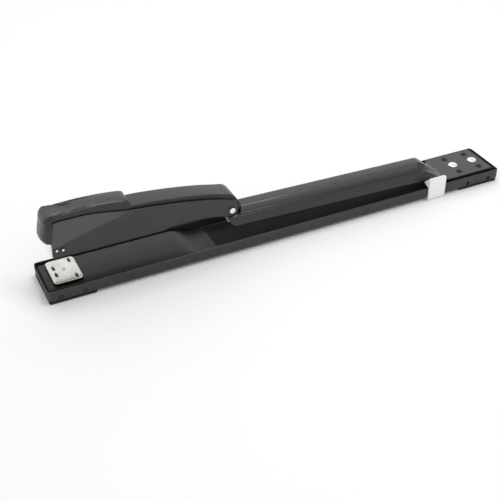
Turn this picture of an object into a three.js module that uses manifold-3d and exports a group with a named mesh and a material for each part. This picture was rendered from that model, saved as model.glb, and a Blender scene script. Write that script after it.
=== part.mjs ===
// Long reach stapler: tray base, sprung arm, stapling head, rotatable anvil and sliding paper stop.
// Millimetres. +X runs from the anvil end to the fixed end, +Y across, +Z up; the table is z = 0.

import * as THREE from 'three';
import { mergeVertices } from 'three/addons/utils/BufferGeometryUtils.js';
import Module from 'manifold-3d';

const wasm = await Module();
wasm.setup();

const GAP = 0.3;
const ROUND_SEGMENTS = 24;

// Base tray
const BASE = { halfLength: 195, halfWidth: 20, bottom: 1.5, sheet: 1.2, wallTop: 10.5, cornerRadius: 2 };
const FLOOR_TOP = BASE.bottom + BASE.sheet;
const FOOT = { height: 1.2, frontEnd: -159.6, rearStart: 155.6, pegRadius: 2.5, pegTop: 2.6 };
const PLATFORM = { top: 9.6, halfWidth: 16.8, sheet: 1.2, rampTop: -87, rampFoot: -72.6, end: -62 };

// Anvil, turning on a stem through the platform
const ANVIL = { x: -177.5, length: 21.7, width: 28.5, top: 12.5, thickness: 2.6, cornerRadius: 3 };
const CRIMP = { offset: 6.6, length: 6.5, width: 1.7, depth: 0.6, inner: 4.2, outer: 10 };
const STEM = { pinRadius: 1.2, collarRadius: 3, flangeRadius: 4.2, flangeBottom: 3.8, flangeTop: 5 };

// Fixed rear end
const BRACKET = { start: 150, end: 192.5, top: 10.4, sheet: 1.2, halfWidth: 16.5 };
const TONGUE = { start: 148.9, end: 189.5, top: 11.9, sheet: 1.2, halfWidth: 16.8 };
const RIVET = { xs: [162, 181.5], shankRadius: 2.4, headRadius: 3.9, headHeight: 1.5 };
const SCREW = { xs: [161, 181], y: 10.7, headRadius: 2.3, shankRadius: 1.5, rimRadius: 3.1 };

// Arm: hat section from the head to the neck
const ARM = {
  front: -56, neckStart: 126, end: 148.3, sheet: 1.2,
  ridgeFront: 31, ridgeRear: 26.9, ridgeHalf: 4.4,
  creaseFront: 26.6, creaseRear: 22.3, creaseHalf: 9.5,
  flangeFront: 19.1, flangeRear: 13.7, flangeHalf: 13,
};

// Head: everything at the nose is concentric with the lever pivot, so the lever can swing past it
const PIVOT = { x: -48, z: 32, radius: 2, bore: 2.1 };
const NOSE = {
  housing: 137.6, plateInner: 138, plateOuter: 138.9, capInner: 140.2, blade: 135.9, bladeSheet: 0.6,
};
const HOUSING = { inner: 8.9, outer: 10.1, rearX: -42.5, webTop: 31, webBottom: 29.8, webStart: -181 };
const LEVER = { inner: 7.5, outer: 8.6, roof: 1.2, frontX: -182, earRadius: 4.8 };
const CAP = { rear: -126, halfNose: 11.8, halfBody: 8.6, top: 65, noseFront: -192.6 };
const MAGAZINE = {
  front: -183, rear: -62, floorBottom: 31.3, floorTop: 32.1, inner: 6.5, outer: 7.2, wallTop: 40,
};
const STAPLE = { front: -183.3, rear: -128, halfWidth: 6.3, top: 38.4, wire: 0.6 };
const FOLLOWER = { front: -127.6, rear: -113 };
const ROD = { radius: 1.1, z: 34.8 };
const HOUSING_RIVETS = [[-182.6, 37], [-178.1, 36.4]];

// Paper stop: a saddle round the tray with a tall leg on the near side and a low hook on the far side
const STOP = {
  front: 123.5, length: 16, bottom: 0.2, bar: 1, legInner: 20.4, legOuter: 21.8, cornerRadius: 3,
  top: 20.5, wedgeInner: 14.6, wedgeTop: 14.2, wedgeBottom: 13.1,
  overWall: 11, hookTop: 12.6, hookInner: 17.6,
};

// ---------------------------------------------------------------- materials

const MATERIALS = {
  base_paint: { color: '#3c3c40', roughness: 0.42, metalness: 0.1 },
  arm_paint: { color: '#4a494c', roughness: 0.4, metalness: 0.1 },
  cap_plastic: { color: '#4d4b4d', roughness: 0.6, metalness: 0 },
  foot_plastic: { color: '#2c2c2e', roughness: 0.7, metalness: 0 },
  stop_plastic: { color: '#f0f0ee', roughness: 0.35, metalness: 0 },
  plated_steel: { color: '#cfccc4', roughness: 0.25, metalness: 0.9 },
  spring_steel: { color: '#8f9194', roughness: 0.35, metalness: 0.9 },
  dark_screw: { color: '#242426', roughness: 0.45, metalness: 0.8 },
};

// ---------------------------------------------------------------- solid helpers

/** Turns a closed three.js geometry into a solid that can be cut and joined. */
function solidOf(geometry) {
  const bare = geometry.clone();
  bare.deleteAttribute('normal');
  bare.deleteAttribute('uv');
  const merged = mergeVertices(bare, 1e-4);
  return new wasm.Manifold(new wasm.Mesh({
    numProp: 3,
    vertProperties: Float32Array.from(merged.attributes.position.array),
    triVerts: Uint32Array.from(merged.index.array),
  }));
}

/** Turns a solid back into a three.js geometry with flat normals. */
function geometryOf(solid) {
  const mesh = solid.getMesh();
  const geometry = new THREE.BufferGeometry();
  geometry.setAttribute('position', new THREE.BufferAttribute(mesh.vertProperties, mesh.numProp));
  geometry.setIndex(new THREE.BufferAttribute(mesh.triVerts, 1));
  const flat = geometry.toNonIndexed();
  flat.computeVertexNormals();
  return flat;
}

function join(solids) {
  return solids.reduce((whole, solid) => whole.add(solid));
}

function cut(solid, tools) {
  return tools.reduce((rest, tool) => rest.subtract(tool), solid);
}

/** Extrudes a 2-D outline; the basis says where its x, its y and the depth point. */
function extrude(points, depth, basis) {
  const shape = points instanceof THREE.Shape ? points : new THREE.Shape(points);
  const geometry = new THREE.ExtrudeGeometry(shape, { depth, bevelEnabled: false, curveSegments: 6 });
  geometry.applyMatrix4(basis);
  return solidOf(geometry);
}

/** Outline in X and Z, extruded across from y0 to y1. */
function extrudeAcross(points, y0, y1) {
  const basis = new THREE.Matrix4().makeRotationX(Math.PI / 2).setPosition(0, y1, 0);
  return extrude(points, y1 - y0, basis);
}

/** Outline in X and Y, extruded up from z0 to z1. */
function extrudeUp(points, z0, z1) {
  return extrude(points, z1 - z0, new THREE.Matrix4().makeTranslation(0, 0, z0));
}

/** Outline in Y and Z, extruded along from x0 to x1. */
function extrudeAlong(points, x0, x1) {
  const basis = new THREE.Matrix4().makeBasis(
    new THREE.Vector3(0, 1, 0), new THREE.Vector3(0, 0, 1), new THREE.Vector3(1, 0, 0),
  ).setPosition(x0, 0, 0);
  return extrude(points, x1 - x0, basis);
}

function box(x0, x1, y0, y1, z0, z1) {
  const geometry = new THREE.BoxGeometry(x1 - x0, y1 - y0, z1 - z0);
  geometry.translate((x0 + x1) / 2, (y0 + y1) / 2, (z0 + z1) / 2);
  return solidOf(geometry);
}

/** Upright cylinder or cone between z0 and z1. */
function upright(x, y, z0, z1, bottomRadius, topRadius = bottomRadius) {
  const geometry = new THREE.CylinderGeometry(topRadius, bottomRadius, z1 - z0, ROUND_SEGMENTS);
  geometry.rotateX(Math.PI / 2);
  geometry.translate(x, y, (z0 + z1) / 2);
  return solidOf(geometry);
}

/** Cylinder lying across the stapler between y0 and y1. */
function crosswise(x, z, y0, y1, radius, segments = ROUND_SEGMENTS) {
  const geometry = new THREE.CylinderGeometry(radius, radius, y1 - y0, segments);
  geometry.translate(x, (y0 + y1) / 2, z);
  return solidOf(geometry);
}

/** Cylinder lying along the stapler between x0 and x1, in the middle plane. */
function lengthwise(x0, x1, z, radius, segments = 16) {
  const geometry = new THREE.CylinderGeometry(radius, radius, x1 - x0, segments);
  geometry.rotateZ(Math.PI / 2);
  geometry.translate((x0 + x1) / 2, 0, z);
  return solidOf(geometry);
}

/** Span in Y between two distances from the middle, on side -1 or 1, in rising order. */
function sideSpan(side, near, far) {
  return side > 0 ? [near, far] : [-far, -near];
}

/** Body of revolution about a vertical axis; the profile holds [radius, z] pairs. */
function turned(x, y, profile, segments = ROUND_SEGMENTS) {
  const geometry = new THREE.LatheGeometry(profile.map(([r, z]) => new THREE.Vector2(r, z)), segments);
  geometry.rotateX(Math.PI / 2);
  geometry.translate(x, y, 0);
  return solidOf(geometry);
}

/** Rectangle with rounded corners as an outline. */
function roundedRectangle(x0, x1, y0, y1, radius) {
  const shape = new THREE.Shape();
  shape.absarc(x1 - radius, y1 - radius, radius, 0, Math.PI / 2);
  shape.absarc(x0 + radius, y1 - radius, radius, Math.PI / 2, Math.PI);
  shape.absarc(x0 + radius, y0 + radius, radius, Math.PI, 1.5 * Math.PI);
  shape.absarc(x1 - radius, y0 + radius, radius, 1.5 * Math.PI, 2 * Math.PI);
  return shape.extractPoints(4).shape;
}

/** Points of an arc about a centre, from one angle to another, both in degrees. */
function arc(centreX, centreZ, radius, from, to, steps) {
  return Array.from({ length: steps + 1 }, (_, i) => {
    const angle = THREE.MathUtils.degToRad(from + ((to - from) * i) / steps);
    return new THREE.Vector2(centreX + radius * Math.cos(angle), centreZ + radius * Math.sin(angle));
  });
}

/** Smooth line through a few given points. */
function smooth(points, steps) {
  return new THREE.SplineCurve(points.map(([x, z]) => new THREE.Vector2(x, z))).getPoints(steps);
}

function vectors(points) {
  return points.map(([x, y]) => new THREE.Vector2(x, y));
}

/** The x of a nose surface at height z: an arc of the given radius about the lever pivot. */
function noseX(radius, z) {
  return PIVOT.x - Math.sqrt(radius ** 2 - (z - PIVOT.z) ** 2);
}

/** Points of a nose arc from height z0 to height z1. */
function noseArc(radius, z0, z1, steps = 5) {
  return Array.from({ length: steps + 1 }, (_, i) => {
    const z = z0 + ((z1 - z0) * i) / steps;
    return new THREE.Vector2(noseX(radius, z), z);
  });
}

/** Joins rings, counter-clockwise seen from +X, into one closed skin with capped ends. */
function loft(rings) {
  const count = rings[0].length;
  const positions = rings.flat().flatMap((p) => [p.x, p.y, p.z]);
  const index = [];
  for (let ring = 0; ring < rings.length - 1; ring += 1) {
    for (let i = 0; i < count; i += 1) {
      const a = ring * count + i;
      const b = ring * count + ((i + 1) % count);
      index.push(a, b, b + count, a, b + count, a + count);
    }
  }
  const flatRing = rings[0].map((p) => new THREE.Vector2(p.y, p.z));
  const last = (rings.length - 1) * count;
  for (const [a, b, c] of THREE.ShapeUtils.triangulateShape(flatRing, [])) {
    index.push(a, c, b);
    index.push(last + a, last + b, last + c);
  }
  const geometry = new THREE.BufferGeometry();
  geometry.setAttribute('position', new THREE.Float32BufferAttribute(positions, 3));
  geometry.setIndex(index);
  return solidOf(geometry);
}

/** Round wire along a 3-D curve. */
function wire(curve, radius, steps, sides) {
  const shape = new THREE.Shape(arc(0, 0, radius, 0, 360 - 360 / sides, sides - 1));
  return solidOf(new THREE.ExtrudeGeometry(shape, { extrudePath: curve, steps, bevelEnabled: false }));
}

/** Helix along X or Y about a centre line. */
class Helix extends THREE.Curve {
  constructor({ axis, start, end, centre, radius, turns }) {
    super();
    Object.assign(this, { axis, start, end, centre, radius, turns });
  }

  getPoint(t, target = new THREE.Vector3()) {
    const angle = 2 * Math.PI * this.turns * t;
    const along = THREE.MathUtils.lerp(this.start, this.end, t);
    const side = this.radius * Math.cos(angle);
    const up = this.centre[1] + this.radius * Math.sin(angle);
    if (this.axis === 'x') return target.set(along, this.centre[0] + side, up);
    return target.set(this.centre[0] + side, along, up);
  }
}

/** Inverted tray: a side outline with the same outline, set in by the sheet, taken out below. */
function foldedTray(outline, inner, halfWidth, sheet) {
  const outside = extrudeAcross(outline, -halfWidth, halfWidth);
  return outside.subtract(extrudeAcross(inner, -halfWidth + sheet, halfWidth - sheet));
}

// ---------------------------------------------------------------- base

function footPegs(xs) {
  return xs.flatMap((x) => [-12, 12].map((y) => [x, y]));
}

const FRONT_PEGS = footPegs([-190, -164]);
const REAR_PEGS = footPegs([166, 188]);

function baseChannel() {
  const { halfLength, halfWidth, bottom, sheet, wallTop, cornerRadius } = BASE;
  const outline = (inset, radius) => roundedRectangle(
    -halfLength + inset, halfLength - inset, -halfWidth + inset, halfWidth - inset, radius,
  );
  const shell = extrudeUp(outline(0, cornerRadius), bottom, wallTop)
    .subtract(extrudeUp(outline(sheet, cornerRadius - sheet), FLOOR_TOP, wallTop + 1));
  const pegHoles = [...FRONT_PEGS, ...REAR_PEGS]
    .map(([x, y]) => upright(x, y, 0, 4, FOOT.pegRadius + GAP));
  const lowFront = box(-halfLength - 1, -halfLength + 4, -PLATFORM.halfWidth, PLATFORM.halfWidth,
    PLATFORM.top, wallTop + 1);
  const stemHole = upright(ANVIL.x, 0, 0, 4, STEM.flangeRadius + 1);
  const reliefs = [-1, 1].flatMap((end) => [-1, 1].map((side) => {
    const x = end * (halfLength - sheet - 0.4);
    const y = side * (halfWidth - 0.6);
    return box(x - 0.4, x + 0.4, y - 1.2, y + 1.2, 6, wallTop + 1);
  }));
  return cut(shell, [...pegHoles, lowFront, stemHole, ...reliefs]);
}

function foot(x0, x1, pegs, throughHole) {
  const block = extrudeUp(roundedRectangle(x0, x1, -BASE.halfWidth, BASE.halfWidth, 1.6), 0, FOOT.height);
  const solid = join([block, ...pegs.map(([x, y]) => upright(x, y, 0.6, FOOT.pegTop, FOOT.pegRadius))]);
  return throughHole ? solid.subtract(throughHole) : solid;
}

function frontFoot() {
  const pushHole = upright(ANVIL.x, 0, -1, 3, STEM.flangeRadius + 1);
  return foot(-BASE.halfLength, FOOT.frontEnd, FRONT_PEGS, pushHole);
}

function rearFoot() {
  return foot(FOOT.rearStart, BASE.halfLength - 1, REAR_PEGS);
}

function frontPlatform() {
  const { top, halfWidth, sheet, rampTop, rampFoot, end } = PLATFORM;
  const front = -BASE.halfLength + BASE.sheet + GAP;
  const low = FLOOR_TOP + GAP;
  const outline = vectors([
    [front, low], [end, low], [end, low + sheet], [rampFoot, low + sheet], [rampTop, top], [front, top],
  ]);
  const inner = vectors([
    [front + sheet, low - 1], [rampFoot - 1.5, low - 1], [rampFoot - 1.5, low],
    [rampTop - 1, top - sheet], [front + sheet, top - sheet],
  ]);
  const tray = foldedTray(outline, inner, halfWidth, sheet);
  return tray.subtract(upright(ANVIL.x, 0, 0, top + 1, STEM.collarRadius + GAP));
}

// ---------------------------------------------------------------- anvil

function anvilPlate() {
  const { x, length, width, top, thickness, cornerRadius } = ANVIL;
  const outline = roundedRectangle(x - length / 2, x + length / 2, -width / 2, width / 2, cornerRadius);
  const plate = extrudeUp(outline, top - thickness, top);
  const groove = (side, centre) => box(
    x + side * CRIMP.offset - CRIMP.width / 2, x + side * CRIMP.offset + CRIMP.width / 2,
    centre - CRIMP.length / 2, centre + CRIMP.length / 2, top - CRIMP.depth, top + 1,
  );
  const grooves = [
    groove(-1, -CRIMP.inner), groove(-1, CRIMP.inner), groove(1, -CRIMP.outer), groove(1, CRIMP.outer),
  ];
  return cut(plate, [...grooves, upright(x, 0, 0, top + 1, STEM.pinRadius + GAP)]);
}

function anvilStem() {
  const shoulder = ANVIL.top - ANVIL.thickness - GAP;
  return turned(ANVIL.x, 0, [
    [0, STEM.flangeBottom], [STEM.flangeRadius, STEM.flangeBottom], [STEM.flangeRadius, STEM.flangeTop],
    [STEM.collarRadius, STEM.flangeTop], [STEM.collarRadius, shoulder], [STEM.pinRadius, shoulder],
    [STEM.pinRadius, ANVIL.top - 0.2], [0, ANVIL.top - 0.2],
  ]);
}

function anvilSpring() {
  const low = STEM.flangeTop + GAP;
  const high = PLATFORM.top - PLATFORM.sheet - GAP;
  return turned(ANVIL.x, 0, [[3.4, low], [4, low], [6.6, high], [6, high], [3.4, low]]);
}

// ---------------------------------------------------------------- fixed rear end

function rearHoles() {
  const rivets = RIVET.xs.map((x) => upright(x, 0, 6, 14, RIVET.shankRadius + GAP));
  const screws = SCREW.xs.flatMap((x) => [-1, 1].map(
    (side) => upright(x, side * SCREW.y, 6, 14, SCREW.shankRadius + GAP),
  ));
  return [...rivets, ...screws];
}

function rearBracket() {
  const { start, end, top, sheet, halfWidth } = BRACKET;
  const low = FLOOR_TOP + GAP;
  const outline = vectors([[start, low], [end, low], [end, top], [start, top]]);
  const inner = vectors([
    [start + sheet, low - 1], [end - sheet, low - 1],
    [end - sheet, top - sheet], [start + sheet, top - sheet],
  ]);
  return cut(foldedTray(outline, inner, halfWidth, sheet), rearHoles());
}

function armTongue() {
  const { start, end, top, sheet, halfWidth } = TONGUE;
  const plate = extrudeUp(roundedRectangle(start, end, -halfWidth, halfWidth, 1.5), top - sheet, top);
  const sinks = SCREW.xs.flatMap((x) => [-1, 1].map(
    (side) => upright(x, side * SCREW.y, top - sheet, top + 0.01, SCREW.shankRadius + GAP, SCREW.rimRadius),
  ));
  return cut(plate, [...rearHoles(), ...sinks]);
}

/** Domed head, shank and the upset end below the bracket. */
function tongueRivet(x) {
  const { shankRadius, headRadius, headHeight } = RIVET;
  const seat = TONGUE.top + GAP;
  const upsetTop = BRACKET.top - BRACKET.sheet - GAP;
  const dome = arc(0, seat, 1, 0, 90, 4).map((p) => [headRadius * p.x, seat + headHeight * (p.y - seat)]);
  return turned(x, 0, [
    [0, upsetTop - 1.4], [3.4, upsetTop - 1.4], [3.4, upsetTop], [shankRadius, upsetTop],
    [shankRadius, seat], ...dome.slice(0, -1), [0, seat + headHeight],
  ]);
}

function tongueScrew(x, y) {
  const { headRadius, shankRadius } = SCREW;
  const headTop = TONGUE.top - 0.5;
  const neck = TONGUE.top - TONGUE.sheet + 0.1;
  const screw = turned(x, y, [
    [0, 6.4], [shankRadius - 0.5, 6.4], [shankRadius, 7], [shankRadius, neck], [headRadius, headTop],
    [0, headTop],
  ], 16);
  const slot = (half, across) => box(
    x - half, x + half, y - across, y + across, headTop - 0.5, headTop + 1,
  );
  return cut(screw, [slot(1.2, 0.25), slot(0.25, 1.2)]);
}

// ---------------------------------------------------------------- arm

function armHeights(x) {
  const along = (x + 40) / (ARM.neckStart + 40);
  const straight = (front, rear) => front + (rear - front) * along;
  const fall = THREE.MathUtils.smoothstep(x, ARM.neckStart, ARM.end);
  const flatten = (z) => z + (TONGUE.top - z) * fall;
  return {
    ridge: flatten(straight(ARM.ridgeFront, ARM.ridgeRear)),
    crease: flatten(straight(ARM.creaseFront, ARM.creaseRear)),
    flange: flatten(straight(ARM.flangeFront, ARM.flangeRear)),
  };
}

/** Half of the outer section at x, from the ridge's middle out to the flange edge. */
function armHalfSection(x) {
  const { ridge, crease, flange } = armHeights(x);
  const shoulder = 0.45 * Math.min(1, (ridge - crease) / 4);
  return [
    [ARM.ridgeHalf, ridge],
    [ARM.ridgeHalf + 0.9, ridge - shoulder],
    [ARM.creaseHalf - 0.5, crease + shoulder * 0.6],
    [ARM.creaseHalf + 0.4, crease - shoulder * 0.8],
    [ARM.flangeHalf, flange],
  ];
}

/** Sheet section at x: the outer line, then the same line set in by the sheet's thickness. */
function armRing(x) {
  const half = armHalfSection(x);
  const outer = [...half.map(([y, z]) => [-y, z]).reverse(), ...half];
  const inner = outer.map(([y, z], i) => {
    const [yBefore, zBefore] = outer[Math.max(i - 1, 0)];
    const [yAfter, zAfter] = outer[Math.min(i + 1, outer.length - 1)];
    const length = Math.hypot(yAfter - yBefore, zAfter - zBefore);
    return [
      y + (ARM.sheet * (zAfter - zBefore)) / length,
      z - (ARM.sheet * (yAfter - yBefore)) / length,
    ];
  });
  return [...outer.reverse(), ...inner].map(([y, z]) => new THREE.Vector3(x, y, z));
}

/** The pressed arm, cut out at the front so that the head and the opening lever clear it. */
function longArm() {
  const neckSteps = 10;
  const neck = Array.from({ length: neckSteps + 1 },
    (_, i) => ARM.neckStart + ((ARM.end - ARM.neckStart) * i) / neckSteps);
  const skin = loft([ARM.front, ARM.front + 50, ...neck].map(armRing));
  const bayHalf = HOUSING.outer + 0.4;
  const clearance = crosswise(PIVOT.x, PIVOT.z, -bayHalf, bayHalf, 9.6, 48);
  const headBay = box(ARM.front - 1, PIVOT.x, -bayHalf, bayHalf, 10, 40);
  const slant = smooth([[-46, 17.5], [-47, 19.5], [-50.5, 23], [-54.5, 29.5]], 6);
  const beyond = vectors([[-60, 32], [-60, 12], [-46, 12]]);
  return cut(skin, [clearance, headBay, extrudeAcross([...slant, ...beyond], -20, 20)]);
}

/** U-shaped bracket in the arm whose ears hold the pivot pin. */
function hingeBracket() {
  const ear = [
    ...arc(PIVOT.x, PIVOT.z, 4.5, -40, 190, 10), ...vectors([
      [-52, 25], [-50, 20.5], [-14, 20.5], [-14, 25.6], [-38, 25.8], [-42.5, 24], [-45.2, 24.2],
    ]),
  ];
  const block = extrudeAcross(ear, -7, 7);
  const inside = box(-60, 0, -5.8, 5.8, 21.7, 45);
  const bore = crosswise(PIVOT.x, PIVOT.z, -9, 9, PIVOT.bore);
  return cut(block, [inside, bore]);
}

// ---------------------------------------------------------------- head

/** Side outline of the housing plates, counter-clockwise from the nose's lower corner. */
function housingOutline() {
  const { x, z } = PIVOT;
  const bottom = smooth([[-184, 30.6], [-166, 30], [-134, 29.8], [-102, 29.8]], 6);
  const raised = vectors([[-95, 31.4], [-75, 31.2], [-56, 28.6]]);
  const rearLow = arc(x, z, 5.6, -100, -10, 6);
  const rearHigh = arc(HOUSING.rearX - 4, 37.4, 4, 0, 80, 4);
  const top = smooth([
    [-50, 42], [-58, 44.4], [-74, 47.9], [-89.5, 50.6], [-112, 53.4], [-127.4, 55],
    [-149, 58.8], [-164, 60], [-181, 59.8],
  ], 24);
  const nose = noseArc(NOSE.housing, 59, 31.6);
  return [...bottom, ...raised, ...rearLow, ...rearHigh, ...top, ...nose];
}

function headHousing() {
  const plates = [-1, 1].map(
    (side) => extrudeAcross(housingOutline(), ...sideSpan(side, HOUSING.inner, HOUSING.outer)),
  );
  const web = box(HOUSING.webStart, -102, -9.5, 9.5, HOUSING.webBottom, HOUSING.webTop);
  const rivetHoles = HOUSING_RIVETS.map(([x, z]) => crosswise(x, z, -12, 12, 1.5, 16));
  const bore = crosswise(PIVOT.x, PIVOT.z, -12, 12, PIVOT.bore);
  return cut(join([...plates, web]), [...rivetHoles, bore]);
}

/** Front strip with a tab folded back inside each housing plate. */
function nosePlate() {
  const strip = [...noseArc(NOSE.plateOuter, 48, 31.6), ...noseArc(NOSE.plateInner, 31.6, 48)];
  const tab = [...noseArc(NOSE.plateOuter - 0.1, 40, 31.6), ...vectors([[-175, 31.6], [-175, 40]])];
  const front = extrudeAcross(strip, -8.6, 8.6);
  const tabs = [-1, 1].map((side) => extrudeAcross(tab, ...sideSpan(side, 7.6, 8.6)));
  const holes = HOUSING_RIVETS.map(([x, z]) => crosswise(x, z, -12, 12, 1.5, 16));
  return cut(join([front, ...tabs]), holes);
}

function housingRivet([x, z], side) {
  const shank = crosswise(x, z, ...sideSpan(side, 7.5, 10.6), 1.2, 16);
  const head = crosswise(x, z, ...sideSpan(side, 10.4, 11), 1.8, 16);
  return shank.add(head);
}

function magazine() {
  const { front, rear, floorBottom, floorTop, inner, outer, wallTop } = MAGAZINE;
  const block = box(front, rear, -outer, outer, floorBottom, wallTop);
  const hollow = box(front - 1, rear - 1, -inner, inner, floorTop, wallTop + 1);
  return cut(block, [hollow, lengthwise(rear - 3, rear + 3, ROD.z, ROD.radius + GAP)]);
}

function stapleStrip() {
  const { front, rear, halfWidth, top, wire: size } = STAPLE;
  const low = MAGAZINE.floorTop + GAP;
  return extrudeAlong(vectors([
    [-halfWidth, low], [-halfWidth, top], [halfWidth, top], [halfWidth, low], [halfWidth - size, low],
    [halfWidth - size, top - size], [-halfWidth + size, top - size], [-halfWidth + size, low],
  ]), front, rear);
}

function follower() {
  const low = MAGAZINE.floorTop + GAP;
  const block = box(FOLLOWER.front, FOLLOWER.rear, -6.2, 6.2, low, STAPLE.top);
  const underside = box(FOLLOWER.front + 3, FOLLOWER.rear + 1, -5.2, 5.2, low - 1, STAPLE.top - 1);
  const rodHole = lengthwise(FOLLOWER.front - 5, FOLLOWER.front + 5, ROD.z, ROD.radius + GAP);
  return cut(block, [underside, rodHole]);
}

function guideRod() {
  return lengthwise(MAGAZINE.front + 1, MAGAZINE.rear + 1.5, ROD.z, ROD.radius, 12);
}

function followerSpring() {
  return wire(new Helix({
    axis: 'x', start: -123.8, end: -65, centre: [0, ROD.z], radius: 2.1, turns: 14,
  }), 0.4, 126, 5);
}

/** Lower edge of the lever's side walls, ending round the pivot. */
function leverWallEdge() {
  return [
    ...vectors([[LEVER.frontX, 50.6], [-120, 48], [-66, 38]]),
    ...arc(PIVOT.x, PIVOT.z, LEVER.earRadius, -120, -30, 6),
  ];
}

/** Slanted rear end of the lever, bottom to top. */
function leverBack() {
  return vectors([[-39.9, 33.4], [-41.2, 37.2], [-43.2, 40.6]]);
}

/** Top line of the lever, rear to front. */
function leverTop() {
  return smooth([
    [-46.5, 44.8], [-54, 47], [-66, 50], [-82, 52.7], [-105, 55.3], [-121, 56.6], [-150, 58],
    [LEVER.frontX, 58.6],
  ], 20);
}

function lever() {
  const outline = [...leverWallEdge(), ...leverBack(), ...leverTop()];
  const outside = extrudeAcross(outline, -LEVER.outer, LEVER.outer);
  const underRoof = leverTop().map((p) => new THREE.Vector2(p.x, p.y - LEVER.roof));
  const inside = extrudeAcross([
    ...vectors([[-190, 20], [-41.4, 20], [-41.4, 33.4], [-44, 39.6]]), ...underRoof,
    new THREE.Vector2(-190, 58.6 - LEVER.roof),
  ], -LEVER.inner, LEVER.inner);
  const bore = crosswise(PIVOT.x, PIVOT.z, -9, 9, PIVOT.bore);
  return cut(outside, [inside, bore]);
}

/** Side outline of the cap: inner nose arc, underside, rear rim and crown, then the outer nose. */
function capSide() {
  const underside = smooth([[-183, 59.2], [-150, 58.4], [CAP.rear, 57.4]], 8);
  const crown = smooth([
    [-126.3, 59.2], [-128.4, 61], [-142.6, 63.1], [-157, 64.3], [-172, CAP.top], [-181.5, 64.8],
  ], 14);
  const outerNose = smooth([[-187, 62.6], [-190.8, 58], [CAP.noseFront, 52], [-191, 48.6]], 8);
  return [...noseArc(NOSE.capInner, 44.5, 59.2), ...underside, ...crown, ...outerNose];
}

/** Top outline of the cap: a straight body behind a wider, rounded nose. */
function capPlan() {
  const bodyX = -183.2;
  const plan = new THREE.Shape();
  plan.moveTo(CAP.rear + 1, -CAP.halfBody);
  plan.lineTo(CAP.rear + 1, CAP.halfBody);
  plan.lineTo(bodyX, CAP.halfBody);
  plan.lineTo(bodyX, CAP.halfNose - 1);
  plan.quadraticCurveTo(bodyX, CAP.halfNose, bodyX - 1, CAP.halfNose);
  plan.quadraticCurveTo(-191.5, CAP.halfNose, CAP.noseFront, 4);
  plan.quadraticCurveTo(CAP.noseFront - 0.4, 0, CAP.noseFront, -4);
  plan.quadraticCurveTo(-191.5, -CAP.halfNose, bodyX - 1, -CAP.halfNose);
  plan.quadraticCurveTo(bodyX, -CAP.halfNose, bodyX, -CAP.halfNose + 1);
  plan.lineTo(bodyX, -CAP.halfBody);
  return plan;
}

function cap() {
  return extrudeAcross(capSide(), -20, 20).intersect(extrudeUp(capPlan(), 30, 80));
}

function driverBlade() {
  const { blade, bladeSheet } = NOSE;
  const profile = [...noseArc(blade + bladeSheet, 57, 41.4), ...noseArc(blade, 41.4, 57)];
  return extrudeAcross(profile, -6.1, 6.1);
}

function returnSpring() {
  return wire(new Helix({
    axis: 'y', start: -4.6, end: 4.6, centre: [PIVOT.x, PIVOT.z], radius: 3, turns: 6.5,
  }), 0.6, 65, 5);
}

function pivotPin() {
  const shaft = crosswise(PIVOT.x, PIVOT.z, -10.8, 10.8, PIVOT.radius);
  const heads = [-1, 1].map((side) => crosswise(PIVOT.x, PIVOT.z, ...sideSpan(side, 10.4, 11.4), 2.6));
  return join([shaft, ...heads]);
}

// ---------------------------------------------------------------- paper stop

/** Section of the stop across the base: a bar under it, a low far hook and a tall near leg. */
function stopSection() {
  const { bottom, bar, legInner, legOuter, top, wedgeInner, wedgeTop, wedgeBottom } = STOP;
  const { overWall, hookTop, hookInner } = STOP;
  const underside = [[0.6 - legOuter, bottom], [legOuter - 0.6, bottom], [legOuter, bottom + 0.6]];
  const farHook = [
    [legOuter, hookTop - 0.5], [legOuter - 0.5, hookTop], [hookInner, hookTop], [hookInner, overWall],
    [legInner, overWall], [legInner, bottom + bar],
  ];
  const nearWedge = [
    [-legInner, bottom + bar], [-legInner, overWall], [-wedgeInner, wedgeBottom], [-wedgeInner, wedgeTop],
  ];
  const crest = arc(0.8 - legOuter, top - 0.8, 0.8, 90, 180, 4);
  return [
    ...vectors([...underside, ...farHook, ...nearWedge]), ...crest,
    new THREE.Vector2(-legOuter, bottom + 0.6),
  ];
}

function paperStop() {
  const { front, length, top, cornerRadius } = STOP;
  const rear = front + length;
  const sideOutline = [
    ...vectors([[front, -1], [rear, -1]]),
    ...arc(rear - cornerRadius, top - cornerRadius, cornerRadius, 0, 90, 5),
    ...arc(front + 0.8, top - 0.8, 0.8, 90, 180, 3),
  ];
  return extrudeAlong(stopSection(), front, rear).intersect(extrudeAcross(sideOutline, -30, 30));
}

// ---------------------------------------------------------------- assembly

const SCREW_PLACES = SCREW.xs.flatMap((x) => [-SCREW.y, SCREW.y].map((y) => [x, y]));
const HOUSING_RIVET_PLACES = HOUSING_RIVETS.flatMap((place) => [-1, 1].map((side) => [place, side]));

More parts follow.
